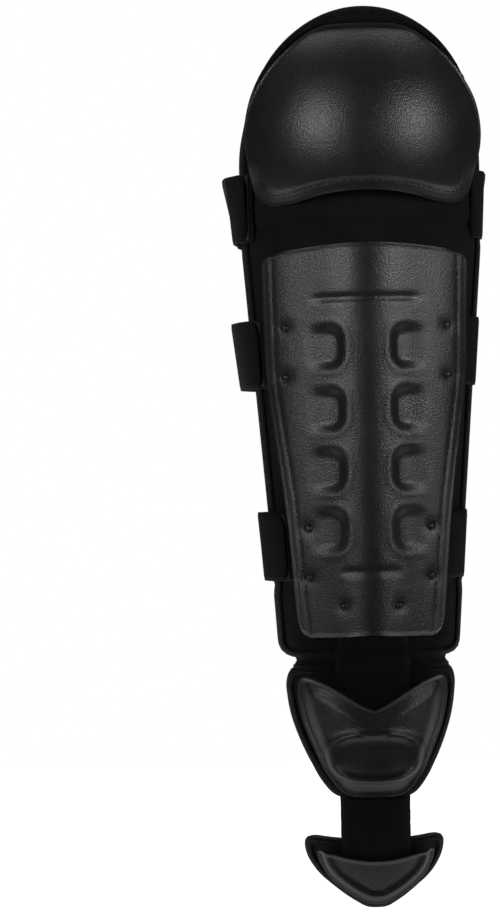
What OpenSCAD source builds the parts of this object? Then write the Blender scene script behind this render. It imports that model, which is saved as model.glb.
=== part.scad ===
// Knee, shin, instep and toe guard for the front of one leg.
// +Z runs up the leg, the guard's front faces -Y and the leg's axis is the Z axis.
// The origin is on the leg's axis at the middle of the calf strap.
// Every shell, webbing and pad layer is turned about the leg's axis on one tapering form.

/* [Form] */
// Radius of the shells' outer face at the top of the shin plate and above it
top_r = 100; // [90:1:115]
// Radius of the shells' outer face at the bottom of the shin plate
bottom_r = 78; // [72:1:88]
// Thickness of the hard shells
shell_t = 3; // [2:0.5:4]
// Clearance between neighbouring layers
layer_gap = 0.3; // [0.2:0.05:0.5]

/* [Shin plate] */
// Height of the plate's top edge
plate_top = 77; // [60:1:80]
// Length of the plate
plate_length = 285; // [240:1:300]
// Width of the plate at its top
plate_top_w = 150; // [130:1:160]
// Width of the plate at the calf
plate_calf_w = 148; // [126:1:154]
// Width of the plate at its bottom
plate_bottom_w = 107; // [92:1:118]
// Radius of the plate's corners
plate_corner = 6; // [3:1:12]

/* [Padding] */
// Thickness of the front fabric
cover_t = 1.5; // [1:0.5:3]
// Thickness of the foam cores
foam_t = 8; // [5:1:12]
// Thickness of the lining
lining_t = 1.5; // [1:0.5:3]
// Width of the binding round each pad
binding_w = 3; // [2:0.5:5]
// Width of the shin pad at its top
pad_top_w = 172; // [160:1:176]
// Width of the shin pad at the calf
pad_calf_w = 159; // [156:1:168]
// Width of the shin pad at the ankle strap
pad_ankle_w = 136; // [130:1:140]
// How far the shin pad reaches below the plate
pad_below = 14; // [8:1:16]

/* [Knee] */
// Gap between the shin pad and the knee pad, where the guard flexes
flex_gap = 16; // [14:1:24]
// Height of the knee cap's middle
knee_z = 165; // [155:1:175]
// Radius of the knee cap's dome
dome_r = 100; // [92:0.5:106]
// Distance from the leg's axis forward to the dome's centre
dome_forward = 27; // [22:1:40]
// Width of the knee pad
knee_pad_w = 173; // [166:1:178]
// Radius of the knee pad's round top
knee_top_r = 82; // [78:1:86]
// Thickness of the brim over the knee cap
brim_t = 9; // [5:1:12]

/* [Straps] */
// Width of the strap webbing
strap_w = 50; // [38:1:52]
// Thickness of the webbing
strap_t = 2.2; // [1.5:0.1:2.5]
// Thickness of each hook and loop patch
patch_t = 1; // [0.6:0.1:1.2]
// Height of the middle of the knee strap
knee_strap_z = 108; // [106:1:116]
// Height of the middle of the ankle strap
ankle_strap_z = -142; // [-150:1:-120]
// Distance from the leg's axis back to the knee strap
knee_strap_back = 62; // [55:1:75]
// Distance from the leg's axis back to the calf strap
calf_strap_back = 60; // [55:1:75]
// Distance from the leg's axis back to the ankle strap
ankle_strap_back = 48; // [45:1:60]

/* [Rivets] */
// Radius of the rivet heads
rivet_head_r = 3.6; // [3:0.1:4.5]
// Radius of the rivet shanks
rivet_shank_r = 1.8; // [1.5:0.1:2.2]
// Height between the two rivets of a strap
rivet_pitch = 36; // [28:1:38]

/* [Instep and toe] */
// Width of the instep pad
instep_w = 120; // [108:1:122]
// Height of the instep pad
instep_h = 96; // [90:1:100]
// Gap between the shin pad and the instep pad
instep_gap = 8; // [6:1:10]
// Gap between the instep pad and the toe pad
toe_gap = 28; // [24:1:32]
// Radius of the toe pad
toe_r = 49; // [44:1:52]
// Width of the wide webbing
foot_web_w = 58; // [50:1:60]
// Width of the narrow webbing on top of it
narrow_web_w = 45; // [38:1:48]

/* [Hidden] */

$fn = 96;
shell_color = [0.16, 0.16, 0.165];
fabric_color = [0.05, 0.05, 0.055];
webbing_color = [0.08, 0.08, 0.085];
foam_color = [0.3, 0.3, 0.32];
metal_color = [0.12, 0.12, 0.12];
reach = 200; // longer than any piece is deep

// Depths of the layers under the shells' outer face, from the front to the leg
web_out = shell_t + layer_gap;
web_in = web_out + strap_t;
washer_t = 0.8;
washer_out = web_in + layer_gap + 0.1; // a flat washer under curved webbing
cover_out = washer_out + washer_t + layer_gap;
cover_in = cover_out + cover_t;
foam_out = cover_in + layer_gap;
foam_in = foam_out + foam_t;
lining_out = foam_in + layer_gap;
lining_in = lining_out + lining_t;
narrow_out = web_out - patch_t - layer_gap / 2;

// Heights of the pads
plate_bottom = plate_top - plate_length;
shin_pad_top = plate_top + 7;
shin_pad_bottom = plate_bottom - pad_below;
knee_pad_bottom = shin_pad_top + flex_gap;
instep_top = shin_pad_bottom - instep_gap;
instep_bottom = instep_top - instep_h;
toe_top = instep_bottom - toe_gap;
toe_z = toe_top - 4;
instep_hinge_z = shin_pad_bottom - instep_gap / 2;
toe_hinge_z = instep_bottom - toe_gap / 2;
hinge_gap = 1.2; // between strap webbing on two sides of a flexing line
foot_gap = 3; // the same for the curved webbing over the foot, whose sides lie behind its hinges
calf_strap_z = 0;

// Radius of the shells' outer face at a height, straight above the plate and tapering below
taper = (top_r - bottom_r) / plate_length;
function face_r(z) = top_r - taper * max(plate_top - z, 0);
// Angle round from the front at which a face under the shells reaches half of a width
function edge_angle(w, z, depth) = asin(w / 2 / (face_r(z) - depth));
function plan(r, a) = [r * sin(a), -r * cos(a)];

// Width at a height along a list of [height, width] from the top down
function width_at(list, z) = lookup(-z, [for (p = list) [-p[0], p[1]]]);
plate_widths = [[plate_top, plate_top_w], [-20, plate_calf_w], [-110, plate_bottom_w + 14],
    [plate_bottom, plate_bottom_w]];
pad_widths = [[shin_pad_top, pad_top_w], [0, pad_calf_w], [ankle_strap_z, pad_ankle_w],
    [-175, pad_ankle_w - 1], [shin_pad_bottom, pad_ankle_w - 12]];

// ---- Shared shapes ----

// A turned layer between two depths under the shells' face and two heights
module layer(low, high, out, in) {
    mid = min(max(plate_top, low), high);
    heights = low < plate_top && high > plate_top ? [low, mid, high] : [low, high];
    outer = [for (z = heights) [face_r(z) - out, z]];
    inner = [for (i = [len(heights) - 1:-1:0]) [face_r(heights[i]) - in, heights[i]]];
    rotate_extrude() polygon(concat(outer, inner));
}

// An outline seen from the front, pushed forward from a distance ahead of the leg's axis
module from_front(start = 0) {
    translate([0, -start, 0]) rotate([90, 0, 0]) linear_extrude(height = reach) children();
}

module formed(low, high, out, in) {
    intersection() {
        layer(low, high, out, in);
        from_front() children();
    }
}

module rounded(r) {
    offset(r = r) offset(delta = -r) children();
}

// An outline narrowed for a layer at a depth, so that a pad's edge runs square to its face
mean_r = (top_r + bottom_r) / 2;
module at_depth(depth) {
    scale([(mean_r - depth) / (mean_r - cover_out), 1]) children();
}

// The ring that binds an outline's edge
module edge_ring(w) {
    difference() {
        children();
        offset(delta = -w) children();
    }
}

// A closed outline, the same on both sides, from its half in [half width, height] points
module both_sides(half) {
    n = len(half);
    polygon(concat(half, [for (i = [n - 1:-1:0]) [-half[i][0], half[i][1]]]));
}

// ---- Outlines ----

module plate_outline() {
    top_edge_r = 480;
    rounded(plate_corner) intersection() {
        both_sides([for (p = plate_widths) [p[1] / 2, p[0]]]);
        // The top edge rises a little in the middle
        translate([0, plate_top - top_edge_r]) circle(r = top_edge_r, $fn = 360);
    }
}

module shin_outline() {
    rounded(10) both_sides([for (p = pad_widths) [p[1] / 2, p[0]]]);
}

module knee_pad_outline() {
    rounded(6) hull() {
        translate([0, knee_z - 2]) circle(r = knee_top_r);
        translate([-knee_pad_w / 2, knee_pad_bottom]) square([knee_pad_w, 50]);
    }
}

// The knee cap is round at the top, with sloping shoulders, two lower corners and a hollowed bottom edge
module knee_cap_outline() {
    top_r = 20;
    side_r = 46;
    corner_r = 18;
    hollow_r = 196;
    difference() {
        hull() {
            for (side = [-1, 1]) {
                translate([side * 28, knee_z + 49]) circle(r = top_r);
                translate([side * 41, knee_z - 8]) circle(r = side_r);
                translate([side * 62, knee_z - 40.5]) circle(r = corner_r);
            }
        }
        translate([0, knee_z - 51.5 - hollow_r]) circle(r = hollow_r, $fn = 240);
    }
}

module instep_outline() {
    w = instep_w / 2;
    rounded(7) both_sides([[w - 4, instep_top], [w, instep_top - 12], [w - 3, instep_top - 36],
        [w - 11, instep_top - 60], [w - 23, instep_bottom + 12], [w - 34, instep_bottom]]);
}

// The instep plate has two raised wings, with a notch between them for the webbing
module instep_plate_outline() {
    w = instep_w / 2 - 6;
    rounded(3) both_sides([[0, instep_top - 31.5], [10, instep_top - 27.5], [24, instep_top - 19],
        [41, instep_top - 11], [w - 4, instep_top - 8], [w, instep_top - 20], [w - 3, instep_top - 38],
        [w - 11, instep_top - 60], [w - 22, instep_bottom + 14], [w - 33, instep_bottom + 2]]);
}

module toe_outline() {
    rounded(6) intersection() {
        translate([0, toe_z]) circle(r = toe_r);
        translate([-toe_r, toe_top - 2 * toe_r]) square([2 * toe_r, 2 * toe_r]);
    }
}

module toe_plate_outline() {
    rim = 4.5;
    hollow_r = 110;
    difference() {
        translate([0, toe_z]) circle(r = toe_r - rim);
        translate([0, toe_top - 18 + hollow_r]) circle(r = hollow_r, $fn = 240);
    }
}

// ---- Shin ----

// Heights and half spacings of the rivet pairs
calf_rivet_x = 61;
ankle_rivet_x = 47.5;
web_rivet_x = 21;
web_rivet_z = plate_bottom + 23;
rivet_places = [
    for (side = [-1, 1], up = [-1, 1]) [side * calf_rivet_x, calf_strap_z + up * rivet_pitch / 2],
    for (side = [-1, 1], up = [-1, 1]) [side * ankle_rivet_x, ankle_strap_z - 4 + up * rivet_pitch / 2],
    for (side = [-1, 1]) [side * web_rivet_x, web_rivet_z]];

// Puts a child, drawn along +Z from the shells' face outward, at a rivet's place
module at_rivet(p) {
    a = asin(p[0] / face_r(p[1]));
    translate([0, 0, p[1]])
        rotate([0, 0, a])
        translate([0, -face_r(p[1]), 0])
        rotate([90 + atan(taper), 0, 0])
        children();
}

module rivet_holes(places) {
    for (p = places)
        at_rivet(p) translate([0, 0, -20]) cylinder(h = 40, r = rivet_shank_r + 0.2);
}

module shin_plate() {
    color(shell_color) difference() {
        formed(plate_bottom - 1, plate_top + 1, 0, shell_t) plate_outline();
        rivet_holes(rivet_places);
    }
}

module shin_layer(out, in) {
    formed(shin_pad_bottom - 1, shin_pad_top + 1, out, in) children();
}

module shin_cover() {
    color(fabric_color) shin_layer(cover_out, cover_in) shin_outline();
}

module shin_foam() {
    color(foam_color) shin_layer(foam_out, foam_in)
        at_depth(foam_in) offset(delta = -binding_w - layer_gap) shin_outline();
}

module shin_lining() {
    color(fabric_color) shin_layer(lining_out, lining_in) at_depth(lining_in) shin_outline();
}

module shin_binding() {
    color(webbing_color) shin_layer(foam_out, foam_in)
        at_depth(foam_in) edge_ring(binding_w) shin_outline();
}

// A low domed head on a straight shank
module rivets() {
    head_h = 2;
    ball_r = (rivet_head_r * rivet_head_r + head_h * head_h) / (2 * head_h);
    color(metal_color) for (p = rivet_places) at_rivet(p) {
        translate([0, 0, 0.1]) intersection() {
            translate([0, 0, head_h - ball_r]) sphere(r = ball_r);
            cylinder(h = head_h + 1, r = rivet_head_r);
        }
        translate([0, 0, -washer_out - washer_t]) cylinder(h = washer_out + washer_t + 0.5, r = rivet_shank_r);
    }
}

module rivet_washers() {
    washer_r = 5;
    color(metal_color) for (p = rivet_places) at_rivet(p)
        translate([0, 0, -washer_out - washer_t]) difference() {
            cylinder(h = washer_t, r = washer_r);
            translate([0, 0, -1]) cylinder(h = washer_t + 2, r = rivet_shank_r + 0.15);
        }
}

// The stretch fabric between the shin pad and the knee pad, sewn to the shin pad
module flex_band() {
    band_w = 90;
    color(fabric_color) formed(shin_pad_top + layer_gap, knee_pad_bottom - 1, foam_out, foam_in)
        translate([-band_w / 2, shin_pad_top]) square([band_w, flex_gap]);
}

// ---- Webbing down to the foot ----

module web_strip(high, low, w, out, in) {
    formed(low, high, out, in)
        translate([-w / 2, low - 1]) square([w, high - low + 2]);
}

module foot_web() {
    color(webbing_color) difference() {
        web_strip(web_rivet_z + 12, instep_hinge_z + foot_gap / 2, foot_web_w, web_out, web_in);
        rivet_holes([for (side = [-1, 1]) [side * web_rivet_x, web_rivet_z]]);
    }
}

module foot_web_narrow() {
    color(fabric_color)
        web_strip(plate_bottom - 1, instep_hinge_z + foot_gap / 2, narrow_web_w, narrow_out, web_out - 0.1);
}

module instep_web() {
    color(webbing_color)
        web_strip(instep_hinge_z - foot_gap / 2, toe_hinge_z + foot_gap / 2, foot_web_w, web_out, web_in);
}

// Two visible stretches, above the instep plate and below it
module instep_web_narrow() {
    notch_z = instep_top - 20;
    color(fabric_color) difference() {
        union() {
            web_strip(instep_hinge_z - foot_gap / 2, notch_z - 20, narrow_web_w, narrow_out, web_out - 0.1);
            web_strip(instep_bottom + 1, toe_hinge_z + foot_gap / 2, narrow_web_w, narrow_out, web_out - 0.1);
        }
        from_front() offset(delta = 0.5) instep_plate_outline();
    }
}

module toe_web() {
    color(webbing_color)
        web_strip(toe_hinge_z - foot_gap / 2, toe_top - 28, foot_web_w - 8, web_out, web_in);
}

module toe_web_narrow() {
    color(fabric_color)
        web_strip(toe_hinge_z - foot_gap / 2, toe_top - 6, narrow_web_w, narrow_out, web_out - 0.1);
}

// ---- Knee ----

module dome(r) {
    translate([0, -dome_forward, knee_z]) sphere(r = r);
}

// A thin dome with a rim standing round its edge
module knee_cap() {
    rim_w = 5;
    rim_t = 2;
    color(shell_color) union() {
        intersection() {
            difference() {
                dome(dome_r);
                dome(dome_r - shell_t);
            }
            from_front(dome_forward) knee_cap_outline();
        }
        intersection() {
            difference() {
                dome(dome_r + rim_t);
                dome(dome_r - shell_t / 2);
            }
            from_front(dome_forward) edge_ring(rim_w) knee_cap_outline();
        }
    }
}

// The foam block fills the dome down to the knee pad's cover
module knee_foam() {
    color(foam_color) difference() {
        intersection() {
            dome(dome_r - shell_t - layer_gap);
            from_front(dome_forward) intersection() {
                offset(delta = -6) knee_cap_outline();
                offset(delta = -binding_w) knee_pad_outline();
            }
        }
        cylinder(h = 2 * reach, r = top_r - cover_out + layer_gap);
    }
}

knee_pad_high = knee_z + knee_top_r;

module knee_layer(out, in) {
    formed(knee_pad_bottom, knee_pad_high, out, in) children();
}

module knee_cover() {
    color(fabric_color) knee_layer(cover_out, cover_in) knee_pad_outline();
}

module knee_lining() {
    color(fabric_color) knee_layer(lining_out, lining_in) at_depth(lining_in) knee_pad_outline();
}

// The binding's inner edge reaches in as far as the pad's own foam would
module knee_binding() {
    color(webbing_color) knee_layer(foam_out, foam_in)
        at_depth(foam_in) edge_ring(binding_w + 9) knee_pad_outline();
}

// The padded brim stands in front of the pad, over the knee cap's top edge
module knee_brim() {
    color(fabric_color) difference() {
        formed(knee_z, knee_pad_high, cover_out - layer_gap - brim_t, cover_out - layer_gap)
            intersection() {
                edge_ring(26) knee_pad_outline();
                translate([-reach / 2, knee_z + 24]) square([reach, reach]);
            }
        from_front() offset(delta = 0.6) knee_cap_outline();
    }
}

// ---- Instep ----

module instep_layer(out, in) {
    formed(instep_bottom - 1, instep_top + 1, out, in) children();
}

// A thin plate with an oval boss across its middle
module instep_plate() {
    boss_z = instep_bottom + 29;
    boss_h = 2.5;
    color(shell_color) union() {
        instep_layer(0, shell_t) instep_plate_outline();
        instep_layer(-boss_h, 1) translate([0, boss_z]) scale([2.1, 1]) circle(r = 16.5);
    }
}

module instep_cover() {
    color(fabric_color) instep_layer(cover_out, cover_in) instep_outline();
}

module instep_foam() {
    color(foam_color) instep_layer(foam_out, foam_in)
        at_depth(foam_in) offset(delta = -binding_w) instep_outline();
}

module instep_lining() {
    color(fabric_color) instep_layer(lining_out, lining_in) at_depth(lining_in) instep_outline();
}

// ---- Toe ----

module toe_layer(out, in) {
    formed(toe_z - toe_r - 1, toe_top + 1, out, in) children();
}

module toe_plate() {
    color(shell_color) toe_layer(0, shell_t) toe_plate_outline();
}

module toe_cover() {
    color(fabric_color) toe_layer(cover_out, cover_in) toe_outline();
}

module toe_foam() {
    color(foam_color) toe_layer(foam_out, foam_in)
        at_depth(foam_in) offset(delta = -binding_w) toe_outline();
}

module toe_lining() {
    color(fabric_color) toe_layer(lining_out, lining_in) at_depth(lining_in) toe_outline();
}

// ---- Straps ----

// Each strap is [height, distance back, shell edge angle, pad edge angle, angle of the riveted or sewn ends,
// angle at which the left end leaves the form]
knee_ring = [knee_strap_z, knee_strap_back, 56, edge_angle(knee_pad_w, knee_strap_z, cover_out), 56, 88];
calf_ring = [calf_strap_z, calf_strap_back, edge_angle(width_at(plate_widths, calf_strap_z), calf_strap_z, 0),
    edge_angle(width_at(pad_widths, calf_strap_z), calf_strap_z, cover_out),
    asin(calf_rivet_x / face_r(calf_strap_z)) - 6, 88];
ankle_ring = [ankle_strap_z, ankle_strap_back,
    edge_angle(width_at(plate_widths, ankle_strap_z), ankle_strap_z, 0),
    edge_angle(width_at(pad_widths, ankle_strap_z), ankle_strap_z, cover_out),
    asin(ankle_rivet_x / face_r(ankle_strap_z)) - 6, 69];
function turn_r(ring) = ring[1] - 5; // radius of a strap's turns round the back of the leg

function unit(v) = v / norm(v);
function heading(path, i) = unit(path[min(i + 1, len(path) - 1)] - path[max(i - 1, 0)]);
function beside(path, t) = [for (i = [0:len(path) - 1])
    let (h = heading(path, i)) path[i] + t * [-h[1], h[0]]];
function backward(list) = [for (i = [len(list) - 1:-1:0]) list[i]];
function arc(c, r, from, to, n) = [for (i = [0:n]) c + plan(r, from + (to - from) * i / n)];

// A band of even thickness along a path in plan, tapering with the form over the strap's width
module strap_band(z, path, t) {
    low = z - strap_w / 2;
    high = z + strap_w / 2;
    grow = face_r(low) / face_r(z);
    translate([0, 0, low])
        linear_extrude(height = strap_w, scale = face_r(high) / face_r(low))
        scale(grow)
        polygon(concat(beside(path, t / 2), backward(beside(path, -t / 2))));
}

// The sewn right end, from under the shell to the pad's edge
anchor_past = 2;
module anchor(ring) {
    r = face_r(ring[0]) - web_out - strap_t / 2;
    strap_band(ring[0], arc([0, 0], r, ring[4], ring[3] + anchor_past, 10), strap_t);
}

// The left end that the tab fastens to
module landing(ring) {
    r = face_r(ring[0]) - web_out - strap_t / 2;
    strap_band(ring[0], arc([0, 0], r, -ring[4], -ring[5], 16), strap_t);
}

loop_out = web_out - patch_t - 0.05;
module loop_patch(ring) {
    r = face_r(ring[0]) - loop_out - patch_t / 2;
    strap_band(ring[0], arc([0, 0], r, -ring[2] - 3, -ring[5] + 2, 12), patch_t);
}

hook_in = loop_out - 0.4;
tab_in = hook_in - patch_t - 0.05;
module hook_patch(ring) {
    r = face_r(ring[0]) - hook_in + patch_t / 2;
    strap_band(ring[0], arc([0, 0], r, -ring[2] - 5, -ring[5] + 4, 12), patch_t);
}

// The elastic webbing, from the anchor round to the middle of the back
function right_x(ring) = (face_r(ring[0]) - web_out) * sin(ring[3] + anchor_past);
function right_y(ring) = -(face_r(ring[0]) - web_in) * cos(ring[3] + anchor_past);
module strap_web(ring) {
    x = right_x(ring) - strap_t / 2;
    turn = [x - turn_r(ring), ring[1] - strap_t / 2 - turn_r(ring)];
    strap_band(ring[0], concat([[x, right_y(ring) + 1]],
        arc(turn, turn_r(ring), 90, 180, 12), [[hinge_gap / 2, ring[1] - strap_t / 2]]), strap_t);
}

// The free end, from the middle of the back round to the left and over the landing
module strap_tab(ring) {
    r = face_r(ring[0]) - tab_in + strap_t / 2;
    leave = -ring[5] - 1;
    turn = [plan(r, leave)[0] + turn_r(ring), ring[1] - strap_t / 2 - turn_r(ring)];
    strap_band(ring[0], concat([[-hinge_gap / 2, ring[1] - strap_t / 2]],
        arc(turn, turn_r(ring), 180, 270, 12), arc([0, 0], r, leave, -ring[2] - 3, 12)), strap_t);
}

strap_rivets = [for (p = rivet_places) if (abs(p[0]) > web_rivet_x) p];

module riveted() {
    difference() {
        children();
        rivet_holes(strap_rivets);
    }
}

module knee_anchor() { color(webbing_color) anchor(knee_ring); }
module knee_landing() { color(webbing_color) landing(knee_ring); }
module knee_loop_patch() { color(fabric_color) loop_patch(knee_ring); }
module knee_strap() { color(webbing_color) strap_web(knee_ring); }
module knee_tab() { color(webbing_color) strap_tab(knee_ring); }
module knee_hook_patch() { color(fabric_color) hook_patch(knee_ring); }

module calf_anchor() { color(webbing_color) riveted() anchor(calf_ring); }
module calf_landing() { color(webbing_color) riveted() landing(calf_ring); }
module calf_loop_patch() { color(fabric_color) loop_patch(calf_ring); }
module calf_strap() { color(webbing_color) strap_web(calf_ring); }
module calf_tab() { color(webbing_color) strap_tab(calf_ring); }
module calf_hook_patch() { color(fabric_color) hook_patch(calf_ring); }

module ankle_anchor() { color(webbing_color) riveted() anchor(ankle_ring); }
module ankle_landing() { color(webbing_color) riveted() landing(ankle_ring); }
module ankle_loop_patch() { color(fabric_color) loop_patch(ankle_ring); }
module ankle_strap() { color(webbing_color) strap_web(ankle_ring); }
module ankle_tab() { color(webbing_color) strap_tab(ankle_ring); }
module ankle_hook_patch() { color(fabric_color) hook_patch(ankle_ring); }

shin_plate();
shin_cover();
shin_foam();
shin_lining();
shin_binding();
rivets();
rivet_washers();
flex_band();
foot_web();
foot_web_narrow();
knee_cap();
knee_foam();
knee_cover();
knee_lining();
knee_binding();
knee_brim();
instep_plate();
instep_cover();
instep_foam();
instep_lining();
instep_web();
instep_web_narrow();
toe_plate();
toe_cover();
toe_foam();
toe_lining();
toe_web();
toe_web_narrow();
knee_anchor();
knee_landing();
knee_loop_patch();
knee_strap();
knee_tab();
knee_hook_patch();
calf_anchor();
calf_landing();
calf_loop_patch();
calf_strap();
calf_tab();
calf_hook_patch();
ankle_anchor();
ankle_landing();
ankle_loop_patch();
ankle_strap();
ankle_tab();
ankle_hook_patch();
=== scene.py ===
import bpy
import bmesh
import math
import numpy as np
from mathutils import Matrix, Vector


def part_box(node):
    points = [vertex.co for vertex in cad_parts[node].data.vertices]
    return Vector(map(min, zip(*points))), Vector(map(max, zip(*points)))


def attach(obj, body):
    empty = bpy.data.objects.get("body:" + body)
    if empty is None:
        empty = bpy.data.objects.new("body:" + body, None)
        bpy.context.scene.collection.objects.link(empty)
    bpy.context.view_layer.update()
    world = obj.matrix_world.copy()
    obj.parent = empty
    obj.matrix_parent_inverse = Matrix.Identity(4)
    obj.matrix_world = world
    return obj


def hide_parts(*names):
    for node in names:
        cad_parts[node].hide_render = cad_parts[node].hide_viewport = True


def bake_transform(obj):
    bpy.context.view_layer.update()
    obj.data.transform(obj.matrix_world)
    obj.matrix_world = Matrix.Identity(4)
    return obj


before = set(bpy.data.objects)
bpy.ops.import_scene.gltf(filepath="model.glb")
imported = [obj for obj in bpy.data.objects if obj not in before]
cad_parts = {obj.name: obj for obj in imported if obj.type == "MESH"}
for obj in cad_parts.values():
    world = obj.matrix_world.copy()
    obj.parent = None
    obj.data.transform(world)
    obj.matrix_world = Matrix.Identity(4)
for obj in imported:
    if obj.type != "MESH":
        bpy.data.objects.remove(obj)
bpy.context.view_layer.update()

# The form that every piece is wrapped on, in metres

plateLow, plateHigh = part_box("shin_plate")
form = {
    "topRadius": 0.100,
    "bottomRadius": 0.078,
    "noseDepth": 0.0045,  # how far the flanks lie in beside the shin's nose
    "noseAngle": 52,
}
taper = (form["topRadius"] - form["bottomRadius"]) / (plateHigh.z - plateLow.z)

# Depths under the shells' outer face
layers = {
    "shell": 0.003,
    "webOut": 0.0033,
    "webIn": 0.0055,
    "padOut": 0.0070,
    "padIn": 0.0186,
}
padMid = (layers["padOut"] + layers["padIn"]) / 2
padHalf = (layers["padIn"] - layers["padOut"]) / 2


def smoothStep(low, high, value):
    t = np.clip((value - low) / (high - low), 0, 1)
    return t * t * (3 - 2 * t)


def hump(value, middle, width):
    return np.exp(-((value - middle) / width) ** 2)


def faceRadius(z):
    return form["topRadius"] - taper * np.maximum(plateHigh.z - z, 0)


def noseDepth(angle, z):
    along = smoothStep(-0.230, -0.205, z) * (1 - smoothStep(0.078, 0.104, z))
    share = np.clip(np.abs(angle) / math.radians(form["noseAngle"]), 0, 1)
    return form["noseDepth"] * along * np.sin(np.pi * share) ** 2


def angleAt(x, z, refDepth=0.0):
    return np.arcsin(np.clip(x / (faceRadius(z) - refDepth), -0.999, 0.999))


# A point of an outline seen from the front, laid on the form at a depth
def wrap(x, z, depth, refDepth=0.0):
    angle = angleAt(x, z, refDepth)
    radius = faceRadius(z) - depth - noseDepth(angle, z)
    return np.stack([radius * np.sin(angle), -radius * np.cos(angle), z + 0 * x], axis=-1)


def depthOf(points):
    angle = np.arctan2(points[:, 0], -points[:, 1])
    z = points[:, 2]
    return faceRadius(z) - noseDepth(angle, z) - np.hypot(points[:, 0], points[:, 1])


def arcPoints(x, z, radius, start, end, count):
    return [(x + radius * math.cos(math.radians(t)), z + radius * math.sin(math.radians(t)), 0)
            for t in np.linspace(start, end, count)]


# The right half of an outline, from the middle of its top to the middle of its bottom.
# Each corner is (x, z, how far its rounding reaches along its sides).
def halfOutline(corners, count):
    points = []
    for k, (x, z, cut) in enumerate(corners):
        here = np.array((x, z))
        if cut == 0:
            points.append(here)
            continue
        back = np.array(corners[k - 1][:2]) - here
        ahead = np.array(corners[k + 1][:2]) - here
        backLength = np.linalg.norm(back)
        aheadLength = np.linalg.norm(ahead)
        cut = min(cut, backLength * 0.48, aheadLength * 0.48)
        first = here + back / backLength * cut
        last = here + ahead / aheadLength * cut
        for t in np.linspace(0, 1, 9):
            points.append((1 - t) ** 2 * first + 2 * t * (1 - t) * here + t ** 2 * last)
    return resample(np.array(points), count)


def resample(points, count):
    steps = np.linalg.norm(np.diff(points, axis=0), axis=1)
    along = np.concatenate([[0], np.cumsum(steps)])
    wanted = np.linspace(0, along[-1], count)
    return np.stack([np.interp(wanted, along, points[:, k]) for k in range(points.shape[1])], axis=1)


def closedLoop(half):
    return np.concatenate([half, half[-2:0:-1] * (-1, 1)])


# How far each point lies from a closed outline
def edgeDistance(x, z, loop):
    sides = np.roll(loop, -1, axis=0) - loop
    flat = np.stack([x, z], axis=-1).reshape(-1, 2)
    nearest = np.full(len(flat), np.inf)
    for corner, side in zip(loop, sides):
        t = np.clip(((flat - corner) @ side) / max(side @ side, 1e-12), 0, 1)
        gap = np.linalg.norm(flat - corner - t[:, None] * side, axis=1)
        nearest = np.minimum(nearest, gap)
    return nearest.reshape(x.shape)


# The way from each point of an outline to an upright spine between two heights, and how far that is
def inwardWay(loop, spine):
    roots = np.stack([0 * loop[:, 0], np.clip(loop[:, 1], *spine)], axis=1)
    ray = roots - loop
    length = np.linalg.norm(ray, axis=1)[:, None]
    return ray / length, length


# Rings from an outline in to its spine
def ringPoints(loop, spine, edgeSteps, inner):
    way, length = inwardWay(loop, spine)
    rings = [loop + way * np.minimum(d, length * 0.9) for d in edgeSteps]
    last = np.minimum(edgeSteps[-1], length * 0.9)
    for k in range(1, inner + 1):
        rings.append(loop + way * (last + (length - last) * k / inner))
    return np.array(rings)


# An outline moved inward by a distance, as an evenly spaced half
def insetHalf(half, distance, count):
    way = np.gradient(half, axis=0)
    way /= np.linalg.norm(way, axis=1)[:, None]
    moved = half + distance * np.stack([way[:, 1], -way[:, 0]], axis=1)
    moved[0, 0] = 0
    moved[-1, 0] = 0
    keep = [0]
    loop = closedLoop(half)
    for k in range(1, len(moved) - 1):
        if edgeDistance(moved[k:k + 1, 0], moved[k:k + 1, 1], loop)[0] > distance * 0.97 and moved[k, 0] > 0:
            keep.append(k)
    return resample(moved[keep + [len(moved) - 1]], count)


def gridFaces(rows, columns, closed):
    faces = []
    for r in range(rows - 1):
        for c in range(columns if closed else columns - 1):
            d = (c + 1) % columns
            faces.append((r * columns + c, r * columns + d, (r + 1) * columns + d, (r + 1) * columns + c))
    return faces


def placeObject(name, data):
    thing = bpy.data.objects.new(name, data)
    bpy.context.scene.collection.objects.link(thing)
    return thing


def makeObject(name, points, faces, merge=0.00002):
    mesh = bpy.data.meshes.new(name)
    mesh.from_pydata([tuple(p) for p in points], [], faces)
    work = bmesh.new()
    work.from_mesh(mesh)
    if merge:
        bmesh.ops.remove_doubles(work, verts=work.verts, dist=merge)
        bmesh.ops.dissolve_degenerate(work, edges=work.edges, dist=merge / 2)
    bmesh.ops.recalc_face_normals(work, faces=work.faces)
    work.to_mesh(mesh)
    work.free()
    mesh.update()
    for polygon in mesh.polygons:
        polygon.use_smooth = True
    return placeObject(name, mesh)


def vertexArray(mesh):
    points = np.zeros(len(mesh.vertices) * 3)
    mesh.vertices.foreach_get("co", points)
    return points.reshape(-1, 3)


def setVertices(thing, points):
    thing.data.vertices.foreach_set("co", points.reshape(-1))
    thing.data.update()


# Turns an open shell's faces to the front
def faceOut(thing):
    total = Vector((0, 0, 0))
    for polygon in thing.data.polygons:
        total += polygon.normal * polygon.area
    if total.y > 0:
        thing.data.flip_normals()


# Cloth coordinates in metres, one pair for each point
def setUv(thing, uv):
    layer = thing.data.uv_layers.new(name="cloth")
    index = np.zeros(len(thing.data.loops), dtype=int)
    thing.data.loops.foreach_get("vertex_index", index)
    layer.data.foreach_set("uv", uv[index].reshape(-1))


# Cloth coordinates that run round the form, and up it
def formUv(thing):
    meanRadius = 0.09
    points = vertexArray(thing.data)
    around = np.arctan2(points[:, 0], -points[:, 1]) * meanRadius
    setUv(thing, np.stack([around, points[:, 2]], axis=1))


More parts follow.
